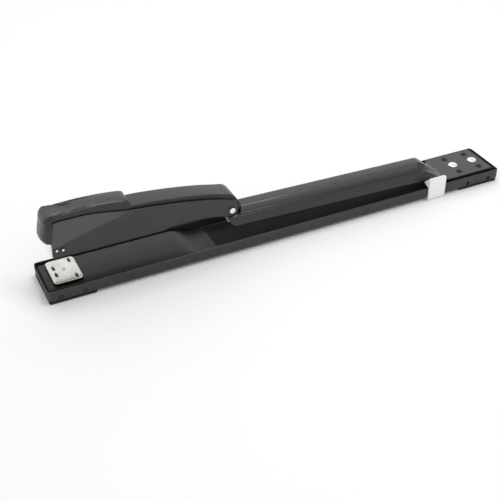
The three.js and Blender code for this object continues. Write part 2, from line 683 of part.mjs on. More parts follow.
const PARTS = [
  ['base_channel', 'base_paint', baseChannel()],
  ['front_platform', 'base_paint', frontPlatform()],
  ['front_foot', 'foot_plastic', frontFoot()],
  ['rear_foot', 'foot_plastic', rearFoot()],
  ['rear_bracket', 'spring_steel', rearBracket()],
  ['arm_tongue', 'arm_paint', armTongue()],
  ['tongue_rivet_front', 'plated_steel', tongueRivet(RIVET.xs[0])],
  ['tongue_rivet_rear', 'plated_steel', tongueRivet(RIVET.xs[1])],
  ...SCREW_PLACES.map(([x, y], i) => [`tongue_screw_${i + 1}`, 'dark_screw', tongueScrew(x, y)]),
  ['anvil_plate', 'plated_steel', anvilPlate()],
  ['anvil_stem', 'plated_steel', anvilStem()],
  ['anvil_spring', 'spring_steel', anvilSpring()],
  ['long_arm', 'arm_paint', longArm()],
  ['hinge_bracket', 'spring_steel', hingeBracket()],
  ['head_housing', 'arm_paint', headHousing()],
  ['nose_plate', 'plated_steel', nosePlate()],
  ...HOUSING_RIVET_PLACES.map(([place, side], i) => [
    `housing_rivet_${i + 1}`, 'plated_steel', housingRivet(place, side),
  ]),
  ['magazine', 'spring_steel', magazine()],
  ['staple_strip', 'plated_steel', stapleStrip()],
  ['follower', 'spring_steel', follower()],
  ['follower_spring', 'spring_steel', followerSpring()],
  ['guide_rod', 'spring_steel', guideRod()],
  ['pivot_pin', 'plated_steel', pivotPin()],
  ['return_spring', 'spring_steel', returnSpring()],
  ['lever', 'arm_paint', lever()],
  ['driver_blade', 'plated_steel', driverBlade()],
  ['cap', 'cap_plastic', cap()],
  ['paper_stop', 'stop_plastic', paperStop()],
];

const stapler = new THREE.Group();
stapler.name = 'long_reach_stapler';
for (const [name, materialName, solid] of PARTS) {
  const mesh = new THREE.Mesh(geometryOf(solid), new THREE.MeshStandardMaterial(MATERIALS[materialName]));
  mesh.name = name;
  mesh.material.name = materialName;
  stapler.add(mesh);
}

export default stapler;
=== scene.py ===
import math

import bmesh
import bpy
import numpy as np
from mathutils import Euler, Matrix, Vector


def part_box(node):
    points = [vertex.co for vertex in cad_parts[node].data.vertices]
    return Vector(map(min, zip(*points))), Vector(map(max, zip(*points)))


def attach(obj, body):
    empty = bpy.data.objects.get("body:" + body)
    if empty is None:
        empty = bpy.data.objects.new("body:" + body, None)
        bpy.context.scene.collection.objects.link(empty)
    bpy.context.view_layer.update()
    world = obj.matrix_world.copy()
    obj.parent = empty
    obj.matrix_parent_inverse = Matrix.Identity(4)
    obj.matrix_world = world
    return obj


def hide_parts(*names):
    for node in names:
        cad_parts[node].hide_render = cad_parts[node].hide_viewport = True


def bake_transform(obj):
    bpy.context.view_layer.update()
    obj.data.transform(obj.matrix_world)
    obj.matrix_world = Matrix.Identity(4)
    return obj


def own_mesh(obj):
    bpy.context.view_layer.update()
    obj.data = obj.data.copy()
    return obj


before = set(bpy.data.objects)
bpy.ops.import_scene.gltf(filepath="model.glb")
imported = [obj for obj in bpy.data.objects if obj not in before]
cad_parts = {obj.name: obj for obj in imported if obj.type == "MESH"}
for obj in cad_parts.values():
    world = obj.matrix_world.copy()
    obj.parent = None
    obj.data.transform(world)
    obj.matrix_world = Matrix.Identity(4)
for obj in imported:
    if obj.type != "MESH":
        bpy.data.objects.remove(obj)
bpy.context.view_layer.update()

# Everything below is written in millimetres, in the frame of the CAD model, and scaled once on the way in.
MM = 0.001


def box_mm(node):
    """Lowest and highest corner of a CAD node in millimetres."""
    low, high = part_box(node)
    return low / MM, high / MM


def middle(node):
    """Centre of a CAD node in millimetres."""
    low, high = box_mm(node)
    return (low + high) / 2


BASE_LOW, BASE_HIGH = box_mm("base_channel")
PLATFORM_LOW, PLATFORM_HIGH = box_mm("front_platform")
ANVIL_LOW, ANVIL_HIGH = box_mm("anvil_plate")
ARM_LOW, ARM_HIGH = box_mm("long_arm")
HOUSING_HIGH = box_mm("head_housing")[1]
LEVER_HIGH = box_mm("lever")[1]
TONGUE_HIGH = box_mm("arm_tongue")[1]
STOP_LOW, STOP_HIGH = box_mm("paper_stop")
PIN_HALF = box_mm("pivot_pin")[1].y
PIVOT = middle("pivot_pin")
SHEET = 1.2
FLOOR_TOP = BASE_LOW.z + SHEET
SIDES = ((-1, "-y"), (1, "y"))


# ---------------------------------------------------------------- curves

def smoothstep(value, low, high):
    """Rises smoothly from 0 at low to 1 at high."""
    t = min(max((value - low) / (high - low), 0.0), 1.0)
    return t * t * (3 - 2 * t)


def through(points):
    """Smooth function y(x) through a few points: a monotone cubic, so it never overshoots."""
    xs, ys = (np.array(column, float) for column in zip(*sorted(points)))
    steps = np.diff(ys) / np.diff(xs)
    slopes = np.concatenate([[steps[0]], (steps[1:] + steps[:-1]) / 2, [steps[-1]]])
    turning = np.concatenate([[False], steps[1:] * steps[:-1] <= 0, [False]])
    slopes[turning] = 0

    def value(x):
        i = int(np.clip(np.searchsorted(xs, x) - 1, 0, len(xs) - 2))
        width = xs[i + 1] - xs[i]
        t = min(max((x - xs[i]) / width, 0.0), 1.0)
        return float(
            (2 * t**3 - 3 * t**2 + 1) * ys[i] + (t**3 - 2 * t**2 + t) * width * slopes[i]
            + (3 * t**2 - 2 * t**3) * ys[i + 1] + (t**3 - t**2) * width * slopes[i + 1]
        )

    return value


def rounded(points, radii, steps=5):
    """The polyline with each inner corner replaced by a curve that starts about a radius away from it."""
    result = [tuple(points[0])]
    for before, corner, after, radius in zip(points, points[1:], points[2:], radii):
        corner = Vector(corner)
        reach_in = min(radius, (Vector(before) - corner).length * 0.49)
        reach_out = min(radius, (Vector(after) - corner).length * 0.49)
        start = corner + (Vector(before) - corner).normalized() * reach_in
        end = corner + (Vector(after) - corner).normalized() * reach_out
        for i in range(steps + 1):
            t = i / steps
            result.append(tuple(start * (1 - t) ** 2 + corner * 2 * t * (1 - t) + end * t**2))
    result.append(tuple(points[-1]))
    return result


def offset_line(points, distance):
    """The polyline moved sideways (to its right) by the distance, with mitred corners."""
    pts = [Vector(p) for p in points]
    moved = []
    for i, point in enumerate(pts):
        before = (point - pts[i - 1]).normalized() if i else (pts[1] - point).normalized()
        after = (pts[i + 1] - point).normalized() if i + 1 < len(pts) else before
        right_before, right_after = Vector((before.y, -before.x)), Vector((after.y, -after.x))
        mitre = (right_before + right_after).normalized()
        moved.append(point + mitre * distance / mitre.dot(right_before))
    return moved


def sheet_section(corners, radii, thickness, lip=0.3, steps=5):
    """Closed section of a bent sheet: outer side through the corners, inner side to the right of it."""
    inner_corners = offset_line(corners, thickness)
    inner_radii = [max(r - 0.6 * thickness, 0.25) for r in radii]
    outer = [Vector(p) for p in rounded(corners, radii, steps)]
    inner = [Vector(p) for p in rounded(inner_corners, inner_radii, steps)]
    for line in (outer, inner):
        line[0] = line[0] + (line[1] - line[0]).normalized() * lip
        line[-1] = line[-1] + (line[-2] - line[-1]).normalized() * lip
    start = (Vector(corners[0]) + inner_corners[0]) / 2
    end = (Vector(corners[-1]) + inner_corners[-1]) / 2
    return [tuple(p) for p in outer + [end] + inner[::-1] + [start]]


def nose_x(radius, z):
    """The x of a nose surface at height z: an arc of that radius about the lever pivot."""
    return PIVOT.x - math.sqrt(radius**2 - (z - PIVOT.z) ** 2)


# ---------------------------------------------------------------- mesh helpers

def new_object(name, data):
    """An object in the scene for a mesh, curve, light or camera."""
    obj = bpy.data.objects.new(name, data)
    bpy.context.scene.collection.objects.link(obj)
    return obj


def mesh_from(name, points, faces, sharp_angle=38):
    """A mesh object from millimetre points; edges sharper than the angle stay sharp."""
    mesh = bpy.data.meshes.new(name)
    mesh.from_pydata([Vector(p) * MM for p in points], [], faces)
    obj = new_object(name, mesh)
    tidy_normals(obj, sharp_angle)
    return obj


def tidy_normals(obj, sharp_angle=38):
    """Faces outward, smooth shading, and sharp edges where the surface really turns."""
    work = bmesh.new()
    work.from_mesh(obj.data)
    bmesh.ops.remove_doubles(work, verts=work.verts, dist=1e-6)
    bmesh.ops.dissolve_degenerate(work, edges=work.edges, dist=1e-7)
    bmesh.ops.recalc_face_normals(work, faces=work.faces)
    for face in work.faces:
        face.smooth = True
    for edge in work.edges:
        edge.smooth = edge.calc_face_angle(0.0) < math.radians(sharp_angle)
    work.to_mesh(obj.data)
    work.free()


def band(first, second):
    """Quads between two closed rows of point numbers."""
    count = len(first)
    return [(first[a], first[(a + 1) % count], second[(a + 1) % count], second[a]) for a in range(count)]


def grid_faces(numbers, columns, rows):
    """Quads over a grid of point numbers."""
    return [
        (numbers[i, j], numbers[i + 1, j], numbers[i + 1, j + 1], numbers[i, j + 1])
        for i in range(columns - 1) for j in range(rows - 1)
    ]


def grid_rim(columns, rows):
    """Places once round the border of a grid."""
    return (
        [(i, 0) for i in range(columns - 1)] + [(columns - 1, j) for j in range(rows - 1)]
        + [(i, rows - 1) for i in range(columns - 1, 0, -1)] + [(0, j) for j in range(rows - 1, 0, -1)]
    )


def closed_strips(count, length):
    """Quads between each of count lines of points and the next, and from the last back to the first."""
    return [
        (k * length + i, (k + 1) % count * length + i, (k + 1) % count * length + i + 1, k * length + i + 1)
        for k in range(count) for i in range(length - 1)
    ]


def wrapped(name, lines, sharp_angle=38):
    """Skin over lines of equally many points that follow each other round a piece."""
    points = [p for line in lines for p in line]
    return mesh_from(name, points, closed_strips(len(lines), len(lines[0])), sharp_angle)


def loft(name, rings, sharp_angle=38):
    """Skin over rings of equally many points, with the first and the last ring filled."""
    count = len(rings[0])
    points = [p for ring in rings for p in ring]
    numbers = [range(r * count, (r + 1) * count) for r in range(len(rings))]
    faces = [face for pair in zip(numbers, numbers[1:]) for face in band(*pair)]
    faces += [tuple(numbers[0]), tuple(numbers[-1])]
    return mesh_from(name, points, faces, sharp_angle)


def prism(name, outline, low, high, axis="y"):
    """Outline extruded between two values of the axis; the outline is in the two other coordinates."""
    place = {
        "x": lambda a, b, t: (t, a, b),
        "y": lambda a, b, t: (a, t, b),
        "z": lambda a, b, t: (a, b, t),
    }[axis]
    return loft(name, [[place(a, b, t) for a, b in outline] for t in (low, high)])


def turned(name, profile, centre, axis="z", segments=40):
    """Body of revolution; the profile holds (radius, height) pairs and runs from axis to axis."""
    tilt = {"z": 0, "y": -math.pi / 2, "-y": math.pi / 2}[axis]
    spin = Matrix.Rotation(tilt, 3, "X")

    def line(angle):
        side, up = math.cos(angle), math.sin(angle)
        return [Vector(centre) + spin @ Vector((r * side, r * up, h)) for r, h in profile]

    return wrapped(name, [line(2 * math.pi * i / segments) for i in range(segments)])


def coil(name, centre, axis, radius, wire_radius, start, end, turns, per_turn=20, sides=8):
    """Round wire wound into a plain helix along X or Y."""
    steps = int(turns * per_turn)
    path = []
    for i in range(steps + 1):
        t = i / steps
        angle = 2 * math.pi * turns * t
        along = start + (end - start) * t
        side, up = radius * math.cos(angle), radius * math.sin(angle)
        offset = (along, side, up) if axis == "x" else (side, along, up)
        path.append(Vector(centre) + Vector(offset))
    rings = []
    for i, point in enumerate(path):
        ahead = (path[min(i + 1, steps)] - path[max(i - 1, 0)]).normalized()
        outward = point - Vector(centre)
        outward["xy".index(axis)] = 0.0
        outward.normalize()
        binormal = ahead.cross(outward)
        rings.append([
            point + (outward * math.cos(a) + binormal * math.sin(a)) * wire_radius
            for a in (2 * math.pi * k / sides for k in range(sides))
        ])
    return loft(name, rings)


def carve(obj, cutters, sharp_angle):
    """Cuts the cutter objects out of obj and leaves the result as obj's own mesh."""
    for cutter in cutters:
        modifier = obj.modifiers.new("cut", "BOOLEAN")
        modifier.operation = "DIFFERENCE"
        modifier.solver = "MANIFOLD"
        modifier.object = cutter
    bake_modifiers(obj)
    for cutter in cutters:
        bpy.data.objects.remove(cutter)
    tidy_normals(obj, sharp_angle)


def bake_modifiers(obj):
    """Makes the modifiers' result the mesh of obj."""
    bpy.context.view_layer.update()
    evaluated = obj.evaluated_get(bpy.context.evaluated_depsgraph_get())
    baked = bpy.data.meshes.new_from_object(evaluated)
    obj.modifiers.clear()
    obj.data = baked


def soften(obj, width, angle=40):
    """Rounds the edges of obj that are sharper than the angle by width millimetres."""
    bevel = obj.modifiers.new("soft_edges", "BEVEL")
    bevel.width = width * MM
    bevel.segments = 2
    bevel.limit_method = "ANGLE"
    bevel.angle_limit = math.radians(angle)
    bevel.harden_normals = True


def merge(name, objects):
    """Joins mesh objects into one new object."""
    work = bmesh.new()
    for obj in objects:
        work.from_mesh(obj.data)
        bpy.data.objects.remove(obj)
    mesh = bpy.data.meshes.new(name)
    work.to_mesh(mesh)
    work.free()
    return new_object(name, mesh)


def cover(obj, material):
    """Gives the whole of obj one material."""
    obj.data.materials.clear()
    obj.data.materials.append(material)


def keep_cad(node, width, material):
    """Leaves a CAD node its shape, with soft edges and a material."""
    soften(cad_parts[node], width)
    cover(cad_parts[node], material)


def finish_piece(obj, material, slot, body, *nodes):
    """Gives a piece its material, the body it rides on and the CAD nodes it stands for; slot is not used."""
    cover(obj, material)
    if nodes:
        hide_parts(*nodes)
    if body:
        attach(obj, body)


# ---------------------------------------------------------------- materials

def fill(node, **values):
    """Sets inputs of a node; an underscore stands for the space in an input's name."""
    for key, value in values.items():
        node.inputs[key.replace("_", " ")].default_value = value


class Nodes:
    """Short spelling for building the node tree of a material or of the world."""

    def __init__(self, owner, shader="Principled BSDF", place="Object"):
        owner.use_nodes = True
        self.owner = owner
        self.tree = owner.node_tree
        self.shader = self.tree.nodes[shader]
        self.place = self.add("ShaderNodeTexCoord").outputs[place]

    def add(self, kind, **settings):
        node = self.tree.nodes.new(kind)
        for key, value in settings.items():
            setattr(node, key, value)
        return node

    def link(self, source, target):
        self.tree.links.new(source, target)

    def along(self, axis):
        """One coordinate of the place."""
        split = self.add("ShaderNodeSeparateXYZ")
        self.link(self.place, split.inputs[0])
        return split.outputs[axis]

    def noise(self, scale, detail=3.0, roughness=0.5, stretch=None):
        node = self.add("ShaderNodeTexNoise")
        fill(node, Scale=scale, Detail=detail, Roughness=roughness)
        source = self.place
        if stretch:
            mapping = self.add("ShaderNodeMapping")
            fill(mapping, Scale=stretch)
            self.link(self.place, mapping.inputs["Vector"])
            source = mapping.outputs["Vector"]
        self.link(source, node.inputs["Vector"])
        return node.outputs["Fac"]

    def remap(self, value, low, high, from_low=0.3, from_high=0.7):
        node = self.add("ShaderNodeMapRange")
        self.link(value, node.inputs["Value"])
        fill(node, From_Min=from_low, From_Max=from_high, To_Min=low, To_Max=high)
        return node.outputs["Result"]

    def mix(self, factor, dark, light):
        node = self.add("ShaderNodeMix", data_type="RGBA")
        self.link(factor, node.inputs["Factor"])
        for socket, value in ((node.inputs["A"], dark), (node.inputs["B"], light)):
            if isinstance(value, tuple):
                socket.default_value = (*value, 1)
            else:
                self.link(value, socket)
        return node.outputs["Result"]

    def bump(self, height, strength, distance):
        """Adds a layer of fine relief on top of what is already there."""
        node = self.add("ShaderNodeBump")
        fill(node, Strength=strength, Distance=distance * MM)
        self.link(height, node.inputs["Height"])
        socket = self.shader.inputs["Normal"]
        if socket.is_linked:
            self.link(socket.links[0].from_socket, node.inputs["Normal"])
        self.link(node.outputs["Normal"], socket)


def paint(name, dark, light, roughness, specular=0.5):
    """Baked enamel: faint orange peel, uneven gloss and a little mottling."""
    n = Nodes(bpy.data.materials.new(name))
    n.link(n.mix(n.remap(n.noise(55, 4), 0, 1), dark, light), n.shader.inputs["Base Color"])
    n.link(n.remap(n.noise(320, 5, 0.6), roughness - 0.05, roughness + 0.07), n.shader.inputs["Roughness"])
    n.bump(n.noise(1400, 2), 0.10, 0.02)
    n.bump(n.noise(5200, 2), 0.06, 0.01)
    fill(n.shader, IOR=1.5, Specular_IOR_Level=specular)
    return n.owner


def moulded(name, dark, light, roughness, grain=0.12):
    """Moulded plastic with a fine spark-eroded grain."""
    n = Nodes(bpy.data.materials.new(name))
    n.link(n.mix(n.remap(n.noise(90, 3), 0, 1), dark, light), n.shader.inputs["Base Color"])
    n.link(n.remap(n.noise(600, 4, 0.6), roughness - 0.06, roughness + 0.06), n.shader.inputs["Roughness"])
    n.bump(n.noise(3600, 3, 0.6), grain, 0.03)
    fill(n.shader, IOR=1.47)
    return n.owner


def metal(name, dark, light, roughness, stretch=(1, 1, 1), scratch=0.05):
    """Plated or bare steel; stretch draws the grain out along one direction."""
    n = Nodes(bpy.data.materials.new(name))
    grain = n.noise(900, 4, 0.65, stretch)
    n.link(n.mix(n.remap(n.noise(140, 3), 0, 1), dark, light), n.shader.inputs["Base Color"])
    n.link(n.remap(grain, roughness - 0.06, roughness + 0.08), n.shader.inputs["Roughness"])
    n.bump(grain, scratch, 0.02)
    fill(n.shader, Metallic=1.0)
    return n.owner


def duller_inside(material, half_width):
    """Painted shade: a weak, dull reflection inside the channel, standing in for the shade that falls there
    under the arm.
    """
    n = Nodes(material)
    across = n.add("ShaderNodeMath", operation="ABSOLUTE")
    n.link(n.along("Y"), across.inputs[0])
    edge = half_width * MM
    n.link(
        n.remap(across.outputs["Value"], 0.04, 0.5, edge - 0.0004, edge + 0.0004),
        n.shader.inputs["Specular IOR Level"],
    )
    return material


def grimy_below(material, height):
    """Painted shade: dark colour on the faces below a height, where the recesses lie in shade."""
    n = Nodes(material)
    unshaded = n.remap(n.along("Z"), 0, 1, (height - 0.25) * MM, (height + 0.1) * MM)
    colour = n.shader.inputs["Base Color"]
    n.link(n.mix(unshaded, (0.03, 0.028, 0.025), colour.links[0].from_socket), colour)
    return material


def polished_where_marked(material):
    """Painted highlight: more gloss wherever the marking function sets the point attribute, so that those
    places reflect brighter.
    """
    n = Nodes(material)
    mask = n.add("ShaderNodeAttribute", attribute_name="highlight_gloss")
    n.link(n.remap(mask.outputs["Fac"], 0.5, 0.95, 0.0, 1.0), n.shader.inputs["Specular IOR Level"])
    return material


def mark_polish(obj, gloss):
    """Point attribute for the painted highlights of the gloss material above; gloss is a function of the
    place in millimetres.
    """
    highlight_gloss = obj.data.attributes.new("highlight_gloss", "FLOAT", "POINT")
    for vertex, value in zip(obj.data.vertices, highlight_gloss.data):
        value.value = gloss(*(c / MM for c in vertex.co))


INSIDE_WALLS = 18.4
SLOT_SHADE = ANVIL_HIGH.z - 0.45
WARM_DARK, WARM_LIGHT = (0.014, 0.013, 0.013), (0.018, 0.017, 0.017)

# Painted shade: the inside of the channel reflects less, so that it looks shaded.
BASE_PAINT = duller_inside(
    paint("base_enamel", (0.016, 0.016, 0.018), (0.022, 0.022, 0.024), 0.32), INSIDE_WALLS,
)
# Painted shade: a darker, duller copy of the black enamel for the front platform, standing in for the shade
# in the tray.
SHADED_TRAY_PAINT = paint("shaded_tray_enamel", (0.008, 0.008, 0.009), (0.011, 0.011, 0.012), 0.34, specular=0.26)
ARM_PAINT = polished_where_marked(paint("arm_enamel", WARM_DARK, WARM_LIGHT, 0.22))
LEVER_PAINT = paint("lever_enamel", WARM_DARK, WARM_LIGHT, 0.3, specular=0.42)
HOUSING_PAINT = polished_where_marked(
    paint("housing_enamel", (0.020, 0.020, 0.021), (0.026, 0.026, 0.027), 0.36),
)
CAP_PLASTIC = moulded("cap_plastic", (0.017, 0.016, 0.016), (0.023, 0.022, 0.022), 0.3)
FOOT_PLASTIC = moulded("foot_plastic", (0.012, 0.012, 0.013), (0.018, 0.018, 0.019), 0.5)
STOP_PLASTIC = moulded("stop_plastic", (0.80, 0.80, 0.79), (0.84, 0.84, 0.83), 0.32, grain=0.05)
PLATED = metal("plated_steel", (0.46, 0.445, 0.42), (0.56, 0.545, 0.515), 0.26)
# Painted shade: the anvil's clinch slots are darkened below SLOT_SHADE.
ANVIL_STEEL = grimy_below(metal("anvil_steel", (0.50, 0.485, 0.46), (0.60, 0.585, 0.555), 0.26), SLOT_SHADE)
BRIGHT = metal("bright_rivet", (0.78, 0.78, 0.78), (0.85, 0.85, 0.85), 0.16)
STEEL = metal("spring_steel", (0.36, 0.37, 0.39), (0.45, 0.46, 0.48), 0.3, stretch=(0.08, 1, 1), scratch=0.1)
BLACKENED = metal("blackened_screw", (0.02, 0.02, 0.021), (0.035, 0.035, 0.036), 0.35)
SCALE_INK = moulded("scale_ink", (0.012, 0.012, 0.013), (0.016, 0.016, 0.017), 0.5)


# ---------------------------------------------------------------- base

CORNER = 2.4
NOTCH_HALF = 16.9
# Where the snap holes are along the wall, and how far the nub in each stands out of the wall.
WALL_HOLES = [(-186.2, 0.35), (-168.2, 0.35), (163.9, -0.6), (184.6, -0.6)]
WALL_HOLE_Z = 4.6
WALL_HOLE_RADIUS = 1.7


def base_wall_profile():
    """Wall section as (inset from the outside, height), from under the floor over the top to the floor."""
    top, low = BASE_HIGH.z, BASE_LOW.z
    outer = rounded([(2.2, low), (0, low), (0, top - 0.6)], [1.3], 4)[:-1]
    rim = [(0.6 - 0.6 * math.cos(a), top - 0.6 + 0.6 * math.sin(a)) for a in np.linspace(0, math.pi, 9)]
    inner = rounded([(SHEET, top - 0.7), (SHEET, FLOOR_TOP), (2.2, FLOOR_TOP)], [0.9], 4)[1:]
    return outer + rim + inner


def base_outline():
    """Points once round the base as (x, y, outward x, outward y), with a step at the front notch."""
    half_x, half_y = BASE_HIGH.x - CORNER, BASE_HIGH.y - CORNER
    inside, outside = NOTCH_HALF - 0.1, NOTCH_HALF + 0.1

    def corner(sx, sy, start):
        angles = [math.radians(start + 15 * i) for i in range(7)]
        return [(sx * half_x, sy * half_y, math.cos(a), math.sin(a)) for a in angles]

    return [
        *corner(1, 1, 0), *((x, half_y, 0, 1) for x in np.linspace(half_x, -half_x, 40)[1:-1]),
        *corner(-1, 1, 90), *((-half_x, y, -1, 0) for y in (outside, inside, 0, -inside, -outside)),
        *corner(-1, -1, 180), *((x, -half_y, 0, -1) for x in np.linspace(-half_x, half_x, 40)[1:-1]),
        *corner(1, -1, 270), *((half_x, y, 1, 0) for y in (-10, 0, 10)),
    ]


def base_channel():
    """The channel: its wall section swept once round the outline, with snap holes and the stem's hole."""
    notch_depth = BASE_HIGH.z - PLATFORM_HIGH.z
    rings = []
    for x, y, nx, ny in base_outline():
        notched = x < 0 and nx < -0.99 and abs(y) < NOTCH_HALF
        ring = []
        for inset, z in base_wall_profile():
            if notched and z > FLOOR_TOP + 3:
                z -= notch_depth
            reach = CORNER - inset
            ring.append((x + nx * reach, y + ny * reach, z))
        rings.append(ring)
    count, wall = len(rings), len(rings[0])
    faces = closed_strips(count, wall)
    faces.append(tuple(r * wall for r in range(count)))
    faces.append(tuple(r * wall + wall - 1 for r in range(count)))
    base = mesh_from("base_channel_body", [p for ring in rings for p in ring], faces, 50)
    cutters = [
        turned("hole", [(0, -6), (WALL_HOLE_RADIUS, -6), (WALL_HOLE_RADIUS, 6), (0, 6)],
               (x, side * BASE_HIGH.y, WALL_HOLE_Z), "y", 24)
        for x, _ in WALL_HOLES for side in (-1, 1)
    ]
    stem_x = middle("anvil_plate").x
    cutters.append(turned("hole", [(0, -2), (5.2, -2), (5.2, 4), (0, 4)], (stem_x, 0, 0)))
    carve(base, cutters, 50)
    finish_piece(base, BASE_PAINT, "base_paint", "base", "base_channel")


def wall_nubs():
    """Snap nubs of the end blocks, seen through the holes in the walls."""
    r = WALL_HOLE_RADIUS - 0.25
    nubs = []
    for x, surface in WALL_HOLES:
        profile = [(0, -1.6), (r, -1.6), (r, surface - 0.7), (r * 0.8, surface - 0.25),
                   (r * 0.45, surface - 0.05), (0, surface)]
        for side, axis in SIDES:
            nubs.append(turned("nub", profile, (x, side * BASE_HIGH.y, WALL_HOLE_Z), axis, 24))
    finish_piece(merge("wall_nubs", nubs), FOOT_PLASTIC, "foot_plastic", "base")


def feet():
    """End blocks under the base, with softened edges."""
    for node in ("front_foot", "rear_foot"):
        keep_cad(node, 0.35, FOOT_PLASTIC)


def front_platform():
    """Folded plate that carries the anvil: flat top, ramp and foot, with its long edges turned down."""
    top, low = PLATFORM_HIGH.z, FLOOR_TOP + 0.3
    front, end = PLATFORM_LOW.x, PLATFORM_HIGH.x
    line = rounded(
        [(front, low), (front, top), (-87, top), (-72.6, low + SHEET), (end, low + SHEET)],
        [1.2, 6, 6], 8,
    )
    half = PLATFORM_HIGH.y
    rings = []
    for x, z in line:
        z_side = max(low, z - 5.5)
        section = rounded([(-half, z_side), (-half, z), (half, z), (half, z_side)], [1.2, 1.2], 5)
        rings.append([(x, y, zz) for y, zz in section])
    count = len(rings[0])
    faces = [
        (r * count + i, r * count + i + 1, (r + 1) * count + i + 1, (r + 1) * count + i)
        for r in range(len(rings) - 1) for i in range(count - 1)
    ]
    plate = mesh_from("front_platform_plate", [p for ring in rings for p in ring], faces)
    solidify = plate.modifiers.new("sheet", "SOLIDIFY")
    solidify.thickness = 0.9 * MM
    solidify.offset = -1
    bake_modifiers(plate)
    tidy_normals(plate, 50)
    # Painted shade: the platform gets the darker copy of the enamel.
    finish_piece(plate, SHADED_TRAY_PAINT, "base_paint", "base", "front_platform")


def scale_digits(number, place, turn):
    """The number as thin solid figures on a wall."""
    curve = bpy.data.curves.new("digits", "FONT")
    curve.body = str(number)
    curve.size = 3.6 * MM
    curve.extrude = 0.03 * MM
    curve.align_x, curve.align_y = "CENTER", "CENTER"
    text = new_object("digits", curve)
    upright = Euler((math.pi / 2, 0, turn)).to_matrix().to_4x4()
    text.matrix_world = Matrix.Translation(Vector(place) * MM) @ upright
    bpy.context.view_layer.update()
    mesh = bpy.data.meshes.new_from_object(text.evaluated_get(bpy.context.evaluated_depsgraph_get()))
    mesh.transform(text.matrix_world)
    bpy.data.objects.remove(text)
    return new_object("digits", mesh)


def scale_marks():
    """Depth scale on both outer walls: a number every 10 mm and a short line at each 5 mm."""
    staple_x, line_top = -184.2, BASE_HIGH.z - 0.9
    marks = []
    for side, turn in ((-1, 0), (1, math.pi)):
        face_y = side * (BASE_HIGH.y + 0.02)
        for depth in range(30, 311, 10):
            marks.append(scale_digits(depth, (staple_x + depth, face_y, 5.4), turn))
        for depth in range(30, 311, 5):
            left, right = staple_x + depth - 0.15, staple_x + depth + 0.15
            low = line_top - (1.1 if depth % 10 else 0.8)
            outline = [(left, low), (right, low), (right, line_top), (left, line_top)]
            marks.append(prism("tick", outline, face_y - 0.03, face_y + 0.03))
    finish_piece(merge("depth_scale", marks), SCALE_INK, "base_paint", "base")


# ---------------------------------------------------------------- anvil

CLINCH_SLOTS = [(-6.6, -4.2), (-6.6, 4.2), (6.6, -10), (6.6, 10)]


def anvil_height(x, y):
    """Height of the anvil's face below its top, at a place measured from its centre."""
    depth = 0.0
    for slot_x, slot_y in CLINCH_SLOTS:
        across, along = (x - slot_x) / 1.15, (y - slot_y) / 2.9
        reach = 1 - abs(along) ** 3 - across**2
        if reach > 0:
            depth = max(depth, 0.95 * math.sqrt(reach))
    centre = math.hypot(x, y)
    return -max(depth, 0.3 * smoothstep(centre, 0.5, 0.9) * (1 - smoothstep(centre, 1.1, 1.6)))


def anvil_plate():
    """Plated anvil: pressed plate with soft edges, four clinch slots and the rivet's seat."""
    centre = middle("anvil_plate")
    edge, corner = 1.1, 1.9
    low, top = ANVIL_LOW.z, ANVIL_HIGH.z
    flat = Vector(((ANVIL_HIGH.x - ANVIL_LOW.x) / 2 - edge, (ANVIL_HIGH.y - ANVIL_LOW.y) / 2 - edge))
    columns, rows = 97, 113

    def past_corner(x, y):
        return abs(x) - (flat.x - corner), abs(y) - (flat.y - corner)

    def outward(x, y):
        over_x, over_y = past_corner(x, y)
        if over_x > 0 and over_y > 0:
            return Vector((math.copysign(over_x, x), math.copysign(over_y, y))).normalized()
        return Vector((math.copysign(1, x), 0)) if over_x > over_y else Vector((0, math.copysign(1, y)))

    points, numbers = [], {}
    for i in range(columns):
        for j in range(rows):
            x = flat.x * (2 * i / (columns - 1) - 1)
            y = flat.y * (2 * j / (rows - 1) - 1)
            over_x, over_y = past_corner(x, y)
            if over_x > 0 and over_y > 0:
                pull = max(over_x, over_y) / math.hypot(over_x, over_y)
                x = math.copysign(flat.x - corner + over_x * pull, x)
                y = math.copysign(flat.y - corner + over_y * pull, y)
            numbers[i, j] = len(points)
            points.append((centre.x + x, centre.y + y, top + anvil_height(x, y)))
    faces = grid_faces(numbers, columns, rows)
    rim = [numbers[place] for place in grid_rim(columns, rows)]
    skirt = [(edge * math.sin(a), top - edge + edge * math.cos(a)) for a in np.linspace(0.25, math.pi / 2, 6)]
    skirt += [(edge, low + 0.5), (edge - 0.2, low + 0.1), (edge - 0.5, low)]
    previous = rim
    for reach, z in skirt:
        ring = range(len(points), len(points) + len(rim))
        for k in rim:
            x, y = points[k][0] - centre.x, points[k][1] - centre.y
            direction = outward(x, y)
            points.append((centre.x + x + direction.x * reach, centre.y + y + direction.y * reach, z))
        faces += band(previous, ring)
        previous = ring
    faces.append(tuple(previous))
    plate = mesh_from("anvil_plated", points, faces, 60)
    finish_piece(plate, ANVIL_STEEL, "plated_steel", "anvil", "anvil_plate")


# ---------------------------------------------------------------- arm

RIDGE_HALF = 4.6
NECK_START = 122.5
NECK_END = 145.5
WIDE_START = 143.6
WIDE_CORNER = 3.0
END_RADIUS = 1.5
RIDGE = through([(-56, 31.3952), (NECK_START, 26.9)])
CREASE = through([(-56, 27.0144), (NECK_START, 22.3)])
FLANGE = through([(-56, 19.62), (NECK_START, 13.7)])


def tongue_half_width(x):
    """Half width of the sheet at x: arm flange, then the wider tongue with rounded corners."""
    narrow, wide = ARM_HIGH.y, TONGUE_HIGH.y
    if x <= WIDE_START:
        return narrow
    if x < WIDE_START + WIDE_CORNER:
        t = (WIDE_START + WIDE_CORNER - x) / WIDE_CORNER
        return narrow + (wide - narrow) * math.sqrt(max(0.0, 1 - t**2.2))
    if x > TONGUE_HIGH.x - END_RADIUS:
        t = (x - TONGUE_HIGH.x + END_RADIUS) / END_RADIUS
        return wide - END_RADIUS * (1 - math.sqrt(max(0.0, 1 - t**2)))
    return wide


